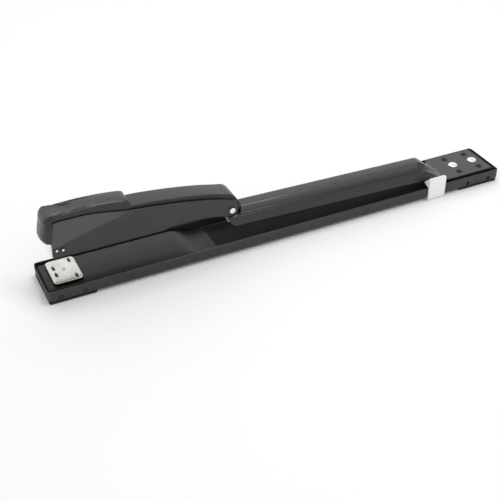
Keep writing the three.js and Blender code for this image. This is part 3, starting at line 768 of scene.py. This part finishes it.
def arm_section(x):
    """Outer line of the pressed sheet at x: top, slopes, a shallow cove along each slope, and flanges."""
    fall = smoothstep(x, NECK_START, NECK_END)
    top = TONGUE_HIGH.z
    along = min(x, NECK_START)
    ridge, crease, flange = (f(along) + (top - f(along)) * fall for f in (RIDGE, CREASE, FLANGE))
    half = tongue_half_width(x)
    spread = half / ARM_HIGH.y
    cove = 0.7 * (1 - fall)
    right = [
        (RIDGE_HALF * spread, ridge), (8.5 * spread, crease - cove), (11.0 * spread, crease + 0.2 * cove),
        (half, flange),
    ]
    return [(-y, z) for y, z in reversed(right)] + right


def arm_stations():
    """Places along X where the section is laid: close together at the neck and the rounded corners."""
    stations = [*np.linspace(ARM_LOW.x - 1, -30, 16), *np.linspace(-20, 120, 15)]
    stations += [*np.linspace(NECK_START, NECK_END, 26)]
    stations += [WIDE_START + WIDE_CORNER * (1 - math.cos(a)) for a in np.linspace(0.3, math.pi / 2, 10)]
    end = TONGUE_HIGH.x - END_RADIUS
    stations += [*np.linspace(153, end, 8)]
    stations += [end + END_RADIUS * math.sin(a) for a in np.linspace(0.2, math.pi / 2, 7)]
    return sorted(set(round(s, 4) for s in stations))


def screw_sinks():
    """Countersunk holes for the four screws of the tongue."""
    top = TONGUE_HIGH.z
    profile = [(0, 5), (1.9, 5), (1.9, top - 1.1), (3.1, top + 0.05), (3.1, 20), (0, 20)]
    return [
        turned("sink", profile, (*middle(f"tongue_screw_{i}").xy, 0), segments=32) for i in range(1, 5)
    ]


def arm_sheet():
    """Arm, neck and tongue as the one pressed sheet that they are."""
    rings = []
    for x in arm_stations():
        section = sheet_section(arm_section(x), [1.1, 1.3, 1.0, 1.0, 1.3, 1.1], SHEET)
        rings.append([(x, y, z) for y, z in section])
    sheet = loft("arm_sheet", rings, 50)
    bay = prism("bay", [(-80, 10), (PIVOT.x, 10), (PIVOT.x, 50), (-80, 50)], -10.5, 10.5)
    swing = turned("swing", [(0, -10.5), (9.6, -10.5), (9.6, 10.5), (0, 10.5)], PIVOT, "y", 64)
    front_end = [(-46, 8), (-46, 18.2), (-50.5, 23), (-56, 32), (-90, 32), (-90, 8)]
    slant = prism("slant", rounded(front_end, [3, 4, 1, 1], 6), -30, 30)
    carve(sheet, [bay, swing, slant, *screw_sinks()], 40)

    def gloss(x, y, z):
        """Painted highlight: extra gloss along the two edges of the ridge."""
        return 1.0 if x < NECK_START and z > RIDGE(x) - 1.0 and 4.0 < abs(y) < 5.6 else 0.0

    mark_polish(sheet, gloss)
    soften(sheet, 0.3, 50)
    finish_piece(sheet, ARM_PAINT, "arm_paint", None, "long_arm", "arm_tongue")
    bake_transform(sheet)


# ---------------------------------------------------------------- rivets, screws, pins

def tongue_rivet(node):
    """Domed rivet with a dimple, sitting on the tongue."""
    low, high = box_mm(node)
    r, seat = (high.x - low.x) / 2, TONGUE_HIGH.z
    rise = high.z - seat - 0.25
    dome = [(r * math.cos(a), seat + 0.25 + rise * math.sin(a)) for a in np.linspace(0, 1.35, 9)]
    dimple = [(0.9, high.z - 0.08), (0.6, high.z - 0.35), (0, high.z - 0.45)]
    profile = [(0, low.z), (2.2, low.z), (2.2, seat - 1), (r - 0.2, seat + 0.02)] + dome + dimple
    rivet = turned(f"{node}_domed", profile, (middle(node).x, 0, 0), segments=48)
    finish_piece(rivet, BRIGHT, "plated_steel", "base", node)


def housing_rivet(node):
    """Small domed rivet whose top is level with the CAD rivet's face."""
    low, high = box_mm(node)
    centre = middle(node)
    side, axis = SIDES[low.y > 0]
    r, face_y = 1.1, side * max(abs(low.y), abs(high.y))
    profile = [(0, -3), (r, -3), (r, -0.7), (r * 0.8, -0.3), (r * 0.45, -0.06), (0, 0)]
    rivet = turned(f"{node}_domed", profile, (centre.x, face_y, centre.z), axis, 28)
    finish_piece(rivet, BRIGHT, "plated_steel", "arm", node)


def pivot_pin():
    """Pin with a domed head on each side."""
    head, shank, under = 2.6, 2, PIN_HALF - 1.1
    dome = [(head * math.cos(a), PIN_HALF - 0.9 + 0.9 * math.sin(a)) for a in np.linspace(0, math.pi / 2, 7)]
    profile = [(r, -h) for r, h in reversed(dome)]
    profile += [(head, -under), (shank, -under), (shank, under), (head, under)] + dome
    pin = turned("pivot_pin_domed", profile, PIVOT, "y", 36)
    finish_piece(pin, BRIGHT, "plated_steel", "arm", "pivot_pin")


def fasteners():
    for node in ("tongue_rivet_front", "tongue_rivet_rear"):
        tongue_rivet(node)
    for i in range(1, 5):
        keep_cad(f"tongue_screw_{i}", 0.12, BLACKENED)
    for i in range(1, 5):
        housing_rivet(f"housing_rivet_{i}")
    pivot_pin()


# ---------------------------------------------------------------- head

HOUSING_NOSE = 137.6
HOUSING_TOP = through([
    (-182.6, 59.6), (-176, 60), (-164, 60), (-149, 58.8), (-127.4, 55), (-112, 53.4), (-89.5, 50.6),
    (-74, 47.9), (-58, 44.4), (-50, 42),
])
HOUSING_BOTTOM = through([
    (-184.5, 30.6), (-166, 30), (-134, 29.8), (-103, 29.8), (-96, 31.3), (-75, 31.2), (-57, 28.8),
    (-49.5, 26.5),
])
# Lower edge of the raised front panel.
FACET = through([
    (-186, 38), (-170.4, 43), (-162, 45.2), (-152.5, 48.2), (-144, 50), (-135, 51.6), (-127, 54.5),
])


def arc_points(x, z, radius, start, end, count):
    """Points along an arc between two angles in degrees."""
    angles = np.radians(np.linspace(start, end, count))
    return [(x + radius * math.cos(a), z + radius * math.sin(a)) for a in angles]


def resample(points, count):
    """The polyline as count points at equal distances along it."""
    pts = np.array(points, float)
    lengths = np.concatenate([[0], np.cumsum(np.hypot(*np.diff(pts, axis=0).T))])
    places = np.linspace(0, lengths[-1], count)
    return np.stack([np.interp(places, lengths, pts[:, 0]), np.interp(places, lengths, pts[:, 1])], axis=1)


def side_plate_grid(columns=150, rows=34):
    """Grid of (x, z) over a housing plate, between its four curved edges."""
    front = [(nose_x(HOUSING_NOSE, z), z) for z in np.linspace(31.2, 59.4, 12)]
    bottom = [(x, HOUSING_BOTTOM(x)) for x in np.linspace(-184.9, -49.5, 120)]
    top = [(x, HOUSING_TOP(x)) for x in np.linspace(-182.2, -49, 120)]
    rear = arc_points(PIVOT.x, PIVOT.z, 5.6, -105, -8, 14) + arc_points(-46.5, 37.4, 4, 0, 95, 10)
    toe = rounded([front[0], (-185.3, 30.7), bottom[3]], [0.8], 4)[:-1]
    bottom = resample(toe + bottom[3:] + [rear[0]], columns)
    top = resample([front[-1]] + top + [rear[-1]], columns)
    front, rear = resample(front, rows), resample(rear, rows)
    grid = np.zeros((columns, rows, 2))
    for i in range(columns):
        s = i / (columns - 1)
        for j in range(rows):
            t = j / (rows - 1)
            sides = (1 - s) * front[j] + s * rear[j]
            ends = (1 - t) * bottom[i] + t * top[i]
            corners = (
                (1 - s) * (1 - t) * bottom[0] + s * (1 - t) * bottom[-1]
                + (1 - s) * t * top[0] + s * t * top[-1]
            )
            grid[i, j] = sides + ends - corners
    return grid


def facet_relief(x, z):
    """Depth of the outer face behind its highest plane: the nose panel stands proud and leans back."""
    edge = FACET(x)
    inside = smoothstep(z, edge - 0.7, edge + 0.7) * (1 - smoothstep(x, -134, -124))
    lean = min(max(0.0, z - edge) * 0.045, 0.7)
    return inside * lean + (1 - inside) * (0.35 + min(max(0.0, edge - z) * 0.03, 0.4))


def housing_plate(side):
    """One side plate, built up in layers from its outer to its inner face, with rounded outer edges."""
    grid = side_plate_grid()
    columns, rows = grid.shape[:2]
    outer, inner = HOUSING_HIGH.y, HOUSING_HIGH.y - SHEET
    # Each layer: distance from the middle plane, how far its edge is pulled in, and whether it has relief.
    layers = [
        (outer, 0.6, True), (outer - 0.1, 0.28, True), (outer - 0.3, 0.08, False), (outer - 0.6, 0.0, False),
        (inner + 0.3, 0.0, False), (inner, 0.25, False),
    ]

    def inset_point(i, j, inset):
        """Edge points pulled in by the inset; inner points stay where they are."""
        p = grid[i, j]
        if 0 < i < columns - 1 and 0 < j < rows - 1:
            return p
        inward = grid[min(max(i, 1), columns - 2), min(max(j, 1), rows - 2)] - p
        length = np.hypot(*inward)
        return p + inward / length * inset if length > 1e-6 else p

    points, faces, previous = [], [], None
    rim = grid_rim(columns, rows)
    everywhere = [(i, j) for i in range(columns) for j in range(rows)]
    for y, inset, relief in layers:
        is_face = y in (outer, inner)
        numbers = {}
        for i, j in everywhere if is_face else rim:
            x, z = inset_point(i, j, inset)
            depth = facet_relief(x, z) if relief else 0.0
            numbers[i, j] = len(points)
            points.append((x, side * (y - depth), z))
        if is_face:
            faces += grid_faces(numbers, columns, rows)
        ring = [numbers[place] for place in rim]
        if previous:
            faces += band(previous, ring)
        previous = ring
    return mesh_from(f"plate_{side}", points, faces, 60)


def rivet_seats():
    """Painted rings round the rivets, and a shallow dimple above them on each plate."""
    ring = [(0, -0.8), (1.8, -0.8), (1.8, 0.2), (1.6, 0.34), (1.3, 0.34), (1.15, 0.2), (0, 0.1)]
    dimple = [(0, -0.8), (2.0, -0.8), (1.9, -0.45), (1.4, 0.0), (0.8, 0.28), (0, 0.38)]
    seats = []
    for i in range(1, 5):
        centre = middle(f"housing_rivet_{i}")
        side, axis = SIDES[centre.y > 0]
        seats.append(turned("seat", ring, (centre.x, side * HOUSING_HIGH.y, centre.z), axis, 28))
    for side, axis in SIDES:
        seats.append(turned("dimple", dimple, (-173.7, side * (HOUSING_HIGH.y - 0.45), 41.9), axis, 24))
    return seats


def head_housing():
    """Two pressed side plates joined by the bottom web."""
    half, low, high = 9.2, 29.9, 31.0
    web = rounded([(-half, low), (half, low), (half, high), (-half, high), (-half, low + 0.01)], [0.3] * 3, 2)
    parts = [housing_plate(side) for side in (-1, 1)]
    parts.append(loft("web", [[(x, y, z) for y, z in web] for x in (-181, -102)]))
    housing = merge("head_housing_shell", parts + rivet_seats())

    def gloss(x, y, z):
        """Painted highlight: extra gloss on the raised panel and along the plates' top edges."""
        panel = smoothstep(z, FACET(x) - 0.5, FACET(x) + 0.5) * (1 - smoothstep(x, -140, -124))
        return 1.0 if z > HOUSING_TOP(x) - 0.35 else panel

    mark_polish(housing, gloss)
    finish_piece(housing, HOUSING_PAINT, "arm_paint", "arm", "head_housing")


# ---------------------------------------------------------------- lever and cap

LEVER_TOP = through([
    (-182, 58.6), (-150, 58.0), (-135, 57.4), (-121, 57.3), (-105, 55.9), (-82, 52.9), (-66, 50),
    (-54, 47), (-46.5, 44.4), (-43.2, 40.4), (-41.2, 36.9), (-40.2, 34.5),
])
LEVER_EDGE = through([
    (-182, 50.6), (-120, 48), (-66, 38), (-55, 30), (-50, 27.4), (-45.5, 28), (-43, 30.2), (-40.2, 33.4),
])


def lever():
    """Pressed handle: inverted channel with rounded shoulders and a slanted rear end."""
    spans = [(-182, -129, 20), (-127.5, -125.5, 6), (-123, -58, 28), (-56, -47, 14), (-46.5, -40.2, 16)]
    rings = []
    for x in (x for span in spans for x in np.linspace(*span)):
        half = LEVER_HIGH.y - 0.6 + 0.6 * smoothstep(x, -60, -52)
        top, edge = LEVER_TOP(x), LEVER_EDGE(x)
        shoulder = min(1.1, (top - edge) * 0.45)
        line = [(-half, edge), (-half, top), (half, top), (half, edge)]
        section = sheet_section(line, [shoulder, shoulder], min(0.7, (top - edge) * 0.4), 0.25, 7)
        rings.append([(x, y, z) for y, z in section])
    handle = loft("lever_handle", rings, 50)
    soften(handle, 0.25, 50)
    finish_piece(handle, LEVER_PAINT, "arm_paint", "lever", "lever")


CAP_CROWN = through([
    (-126, 61.5), (-129, 62.8), (-136, 63.9), (-145, 64.7), (-157, 64.98), (-170, 64.98), (-179, 64.95),
    (-184, 64.6), (-188, 63.6), (-192, 61.8),
])
CAP_REAR = -126
CAP_UNDERSIDE = 59.3
BODY_HALF = 8.6
SKIRT = 0.5
# How far the nose stands out in front of its back, by height.
NOSE_DEPTH = through([
    (44.4, 6.9), (45.2, 7.6), (47, 7.7), (50.2, 7.1), (53.3, 6.4), (56.5, 5.6), (59, 5.0),
])
NOSE_LOW, NOSE_TOP = 44.4, 59
NOSE_BACK = -184.2
NOSE_HALF = 11.6
NOSE_POWER = 2.6
EAR_INNER = 10.25
GROOVE_START = Vector((-181.0, 8.3))
GROOVE_ENDS = [Vector((-163.0, 1.2)), Vector((-145.0, 3.4)), Vector((-148.0, 6.4))]
GROOVE_WIDTH, GROOVE_DEPTH = 0.42, 0.7


def cap_under(x):
    """Height of the underside over the lever."""
    return CAP_UNDERSIDE - 1.8 * smoothstep(x, -180, CAP_REAR)


def nose_rear(y):
    """Radius of the arc behind the nose: it reaches further back where it passes outside the head."""
    return 138.1 if y > EAR_INNER else 140.2


def nose_foot(x, y, forward):
    """Height where the nose surface, at this share of its depth, runs into the arc behind it."""
    z = CAP_UNDERSIDE
    while z > NOSE_LOW and x - NOSE_DEPTH(z) * forward < nose_x(nose_rear(y), z):
        z -= 0.1
    return z


def cap_half_outline():
    """Plan of one side from the middle of the rear edge to the tip of the nose.

    Every entry holds x, y, the share of the nose depth (none on the body), the radius of the top edge
    and the height at which that rounding starts.
    """
    corner = 1.2
    rear = cap_under(CAP_REAR) + 1.1
    outline = [(CAP_REAR, y, None, 3.2, rear) for y in np.linspace(0, BODY_HALF - corner, 14)[:-1]]
    for a in np.linspace(0, math.pi / 2, 7):
        x, y = CAP_REAR - corner + corner * math.cos(a), BODY_HALF - corner + corner * math.sin(a)
        outline.append((x, y, None, 3.2 - 0.7 * math.sin(a), rear + 0.6 * math.sin(a)))
    for x in np.linspace(-127.7, -183.3, 210):
        radius = 2.0 + 0.5 * smoothstep(x, -165, -140)
        edge = max(cap_surface(x, BODY_HALF) - radius, cap_under(x) + 0.6)
        outline.append((x, BODY_HALF, None, radius, edge))
    outline.append((-183.5, 10.9, 0.0, 2.2, 60.4))  # the step out to the wider nose
    for a in np.linspace(math.pi / 2, 0, 34):
        forward = max(math.cos(a), 0.0) ** (2 / NOSE_POWER)
        front = smoothstep(forward, 0.1, 0.9)
        y = NOSE_HALF * math.sin(a) ** (2 / NOSE_POWER)
        outline.append((NOSE_BACK, y, forward, 2.4 + 1.9 * front, 60.0 - 2.6 * front))
    return outline


def cap_surface(x, y):
    """Height of the top before its edge is rounded: a slight arch, with shoulders that fall at the nose."""
    arch = 0.006 * smoothstep(x, -172, -140) + 0.003
    shoulder = 2.7 * smoothstep(abs(y), 7.4, NOSE_HALF) * smoothstep(-x, 178, 184)
    return CAP_CROWN(x) - arch * y * y - shoulder - cap_relief(x, y)


def cap_relief(x, y):
    """Depth of the thumb rest: a dish behind the front rim, and grooves that fan out from its corners."""
    depth = 1.5 * math.exp(-(((x + 174.0) / 8.5) ** 2) - (y / 6.6) ** 4)
    for end in GROOVE_ENDS:
        line = end - GROOVE_START
        offset = Vector((x, abs(y))) - GROOVE_START
        t = offset.dot(line) / line.length_squared
        if -0.05 < t < 1.0:
            distance = abs(line.x * offset.y - line.y * offset.x) / line.length
            taper = smoothstep(t, -0.05, 0.1) * (1 - smoothstep(t, 0.55, 1.0))
            depth += GROOVE_DEPTH * taper * math.exp(-((distance / GROOVE_WIDTH) ** 2))
    return depth


def cap_path(x, y, forward, radius, height):
    """Line over the shell at one outline point: spine, top, edge, wall, inner side and underside."""
    spine_x = min(max(x, -182.0), -131.0)

    def wall_x(z):
        return x - NOSE_DEPTH(min(z, NOSE_TOP)) * (forward or 0.0)

    if forward is None:
        foot = cap_under(x) - (cap_under(x) - HOUSING_TOP(x) - 0.3) * smoothstep(y, 7.6, 8.5)
        ceiling = cap_under(x)
    else:
        foot = nose_foot(x, y, forward)
        ceiling = CAP_UNDERSIDE
    edge, spine = Vector((wall_x(height), y)), Vector((spine_x, 0))
    reach = (edge - spine).length
    path = []
    for f in np.linspace(0, 1, 46):
        place = spine.lerp(edge, f)
        inward = min((1 - f) * reach / radius, 1.0)
        swell = math.sqrt(1 - (1 - inward) ** 2)
        path.append((place.x, place.y, height + (cap_surface(*place) - height) * swell))
    for z in np.linspace(height, foot, 10)[1:]:
        path.append((wall_x(z), y, z))
    inner_y = max(y - SKIRT, 0.0) if forward is None else y
    for z in np.linspace(foot, ceiling, 8):
        inner_x = x if forward is None else max(nose_x(nose_rear(y), z), wall_x(foot))
        path.append((inner_x, inner_y, z))
    path.append((spine_x, 0, cap_under(spine_x)))
    return path


def cap():
    """The shell: one closed line over it at every point of its outline, on both sides."""
    half = [cap_path(*entry) for entry in cap_half_outline()]
    other_half = [[(x, -y, z) for x, y, z in path] for path in reversed(half[1:-1])]
    shell = wrapped("cap_shell", half + other_half, 60)
    finish_piece(shell, CAP_PLASTIC, "cap_plastic", "lever", "cap")


# ---------------------------------------------------------------- inside the head

def inner_works():
    """Sheet and turned pieces keep their CAD shape; springs and staples get real wire."""
    for node in ("magazine", "hinge_bracket", "follower", "guide_rod", "anvil_spring"):
        keep_cad(node, 0.15, STEEL)
    keep_cad("rear_bracket", 0.3, BASE_PAINT)
    keep_cad("nose_plate", 0.2, BRIGHT)
    for node in ("driver_blade", "anvil_stem"):
        keep_cad(node, 0.12, PLATED)
    return_spring = coil("return_spring_wire", PIVOT, "y", 3.0, 0.6, -4.6, 4.6, 6.5)
    finish_piece(return_spring, STEEL, "spring_steel", "arm", "return_spring")
    low, high = box_mm("follower_spring")
    axis_point = (0, *middle("follower_spring").yz)
    spring = coil("follower_spring_wire", axis_point, "x", 2.1, 0.4, low.x + 0.4, high.x - 0.4, 14, 16, 6)
    finish_piece(spring, STEEL, "spring_steel", "arm", "follower_spring")
    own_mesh(spring)
    staple_strip()


def staple_strip():
    """The strip as separate staples side by side, each a bent wire."""
    low, high = box_mm("staple_strip")
    pitch, wire, half = 0.65, 0.6, high.y
    corners = [(-half, low.z), (-half, high.z), (half, high.z), (half, low.z)]
    section = sheet_section(corners, [0.8, 0.8], wire, 0.05, 3)
    staples = []
    for i in range(int((high.x - low.x) / pitch)):
        x = low.x + pitch * i
        ends = (x + 0.02, x + pitch - 0.05)
        staples.append(loft("staple", [[(end, y, z) for y, z in section] for end in ends]))
    finish_piece(merge("staple_strip_wires", staples), PLATED, "plated_steel", "arm", "staple_strip")


# ---------------------------------------------------------------- paper stop

def stop_outline():
    """Section of the stop across the base: bar under the tray, low far hook, tall near leg with a lip."""
    leg, low, top = STOP_HIGH.y, STOP_LOW.z, STOP_HIGH.z
    inner, bar = 20.4, STOP_LOW.z + 1
    far_hook = [(leg, 12.6), (17.6, 12.6), (17.6, 11), (inner, 11)]
    near_leg = [(-inner, 11), (-14.6, 13.1), (-14.6, 14.2), (0.6 - leg, top), (-leg, top)]
    corners = [(0, low), (leg, low), *far_hook, (inner, bar), (-inner, bar), *near_leg, (-leg, low), (0, low)]
    radii = [0.6, 0.9, 0.6, 0.3, 0.2, 0.3, 0.3, 0.2, 0.5, 0.4, 0.3, 0.35, 0.6]
    return rounded(corners, radii, 4)[:-1]


def paper_stop():
    """White saddle: one moulded band round the tray; the top of its rear edge is rounded off."""
    x0, x1 = STOP_LOW.x, STOP_HIGH.x
    rear_round, top = 3.0, STOP_HIGH.z
    stations = [(x0, 0.5), (x0 + 0.15, 0.15), (x0 + 0.5, 0.0)]
    stations += [(x1 - rear_round + rear_round * math.sin(a), 0.0) for a in np.linspace(0, 1.45, 10)]
    stations += [(x1, 0.0)]
    rings = []
    for x, inset in stations:
        past = max(0.0, x - (x1 - rear_round))
        drop = rear_round - math.sqrt(max(0.0, rear_round**2 - past**2)) + inset
        rings.append([(x, y, z - drop * smoothstep(z, top - 6, top)) for y, z in stop_outline()])
    stop = loft("paper_stop_saddle", rings, 45)
    finish_piece(stop, STOP_PLASTIC, "stop_plastic", "paper_stop", "paper_stop")


# ---------------------------------------------------------------- studio

def sky():
    """White surroundings: bright at the horizon and behind, a brighter band above it, dimmer high up."""
    n = Nodes(bpy.data.worlds.new("studio"), "Background", "Generated")

    def added(first, second):
        node = n.add("ShaderNodeMath")
        n.link(first, node.inputs[0])
        n.link(second, node.inputs[1])
        return node.outputs["Value"]

    band_above = n.remap(n.along("Z"), 0.95, 1.6, 0.63, 0.66)
    high_up = n.remap(n.along("Z"), 0.0, -1.2, 0.70, 0.75)
    behind = n.remap(n.along("Y"), 0.0, 0.3, 0.4, 0.7)
    fill(n.shader, Color=(1.0, 1.0, 1.0, 1))
    n.link(added(added(band_above, high_up), behind), n.shader.inputs["Strength"])
    return n.owner


def aimed(data, location, direction):
    """Object for a light or camera that faces along the direction."""
    obj = new_object(data.name, data)
    obj.location = location
    obj.rotation_euler = Vector(direction).to_track_quat("-Z", "Y").to_euler()
    return obj


def studio():
    """Pale floor, white surroundings and one wide soft light above."""
    n = Nodes(bpy.data.materials.new("studio_floor"))
    n.link(n.mix(n.noise(3, 2), (0.83, 0.83, 0.83), (0.85, 0.85, 0.85)), n.shader.inputs["Base Color"])
    fill(n.shader, Roughness=0.6)
    bpy.ops.mesh.primitive_plane_add(size=8, location=(0, 0, -0.0002))
    floor = bpy.context.object
    floor.name = "studio_floor"
    floor.data.materials.append(n.owner)
    bpy.context.scene.world = sky()
    overhead = bpy.data.lights.new("overhead", "AREA")
    overhead.shape = "RECTANGLE"
    overhead.size, overhead.size_y = 1.2, 0.32
    overhead.energy = 7.5
    place, target = Vector((0.25, 0.1, 1.2)), Vector((0.05, 0, 0.02))
    aimed(overhead, place, target - place)


def camera():
    """Camera found by fitting the labelled sizes: it looks down at 36 degrees, 26 degrees round."""
    azimuth, elevation = 0.448326, 0.626773
    data = bpy.data.cameras.new("camera")
    data.sensor_width = 36
    data.lens = 68.05
    data.clip_start, data.clip_end = 0.01, 20
    level = math.cos(elevation)
    direction = (math.sin(azimuth) * level, math.cos(azimuth) * level, -math.sin(elevation))
    bpy.context.scene.camera = aimed(data, (-0.292198, -0.548119, 0.423514), direction)


camera()
studio()
base_channel()
wall_nubs()
feet()
front_platform()
scale_marks()
anvil_plate()
arm_sheet()
fasteners()
head_housing()
lever()
cap()
inner_works()
paper_stop()

bpy.context.scene.view_settings.view_transform = "Standard"
